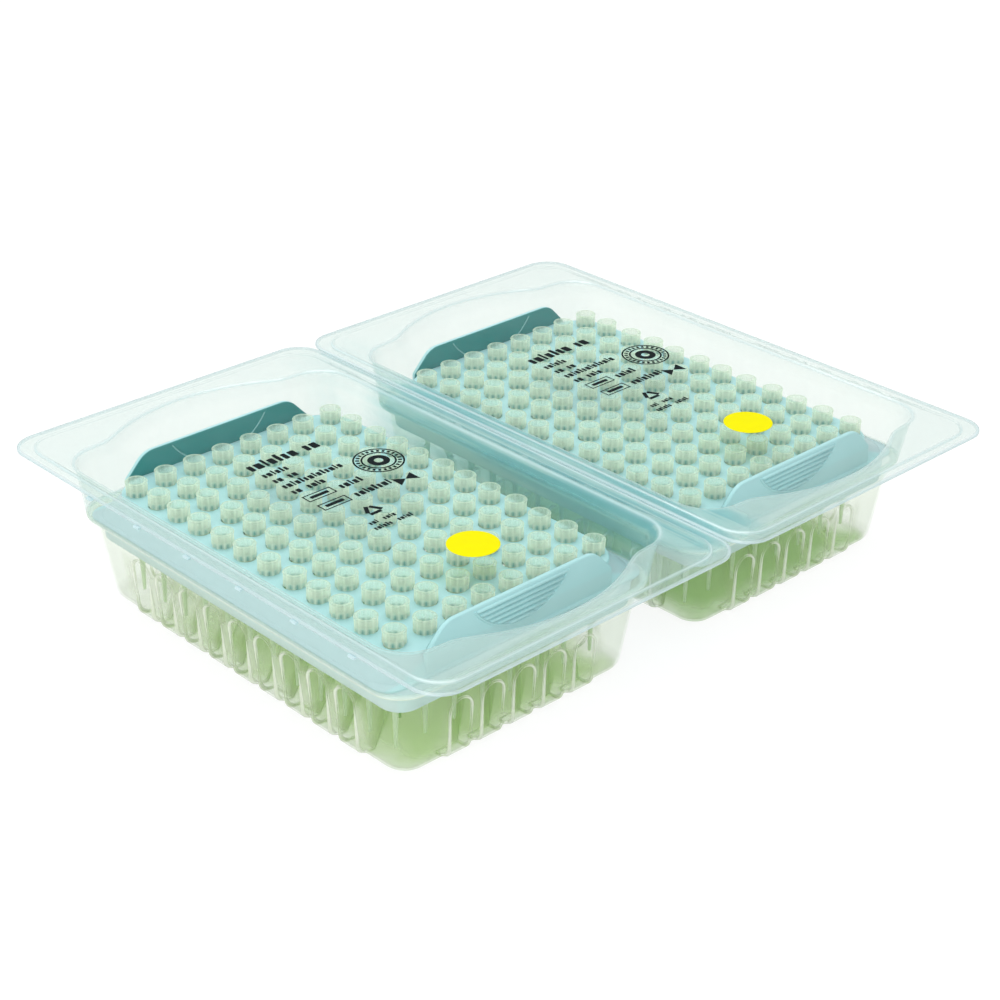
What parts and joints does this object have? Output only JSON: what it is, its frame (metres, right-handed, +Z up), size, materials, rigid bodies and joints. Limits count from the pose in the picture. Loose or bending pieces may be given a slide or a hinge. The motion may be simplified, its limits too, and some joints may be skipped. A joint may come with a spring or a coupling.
{
  "type": "box of pipette tips",
  "caption": "Sealed twin refill pack of small pipette tips: two clear formed tubs joined at the rim, each with a gripped tray of tips under a clear film.",
  "frame": {"origin": "on the standing surface, under the middle of the pack", "axes": "+Z up; +X across the two tubs, from the left one to the right one; +Y along the tubs, away from the front row of tips"},
  "size_m": [0.195, 0.1656, 0.039],
  "materials": {
    "clear_sheet": "clear glossy thermoformed sheet",
    "clear_film": "clear glossy sealing film",
    "tray_blue": "satin moulded polypropylene",
    "natural_tip": "translucent natural polypropylene",
    "film_ink": "matt black print on the film",
    "dot_yellow": "matt yellow round marker on the film"
  },
  "bodies": {
    "root": {"twin_tub": "clear_sheet", "cover_film_left": "clear_film", "cover_film_right": "clear_film", "tip_tray_left": "tray_blue", "tip_tray_right": "tray_blue", "tip_left_1": "natural_tip", "tip_left_2": "natural_tip", "tip_left_3": "natural_tip", "tip_left_4": "natural_tip", "tip_left_5": "natural_tip", "tip_left_6": "natural_tip", "tip_left_7": "natural_tip", "tip_left_8": "natural_tip", "tip_right_1": "natural_tip", "tip_right_2": "natural_tip", "tip_right_3": "natural_tip", "tip_right_4": "natural_tip", "tip_right_5": "natural_tip", "tip_right_6": "natural_tip", "tip_right_7": "natural_tip", "tip_right_8": "natural_tip"}
  },
  "joints": []
}
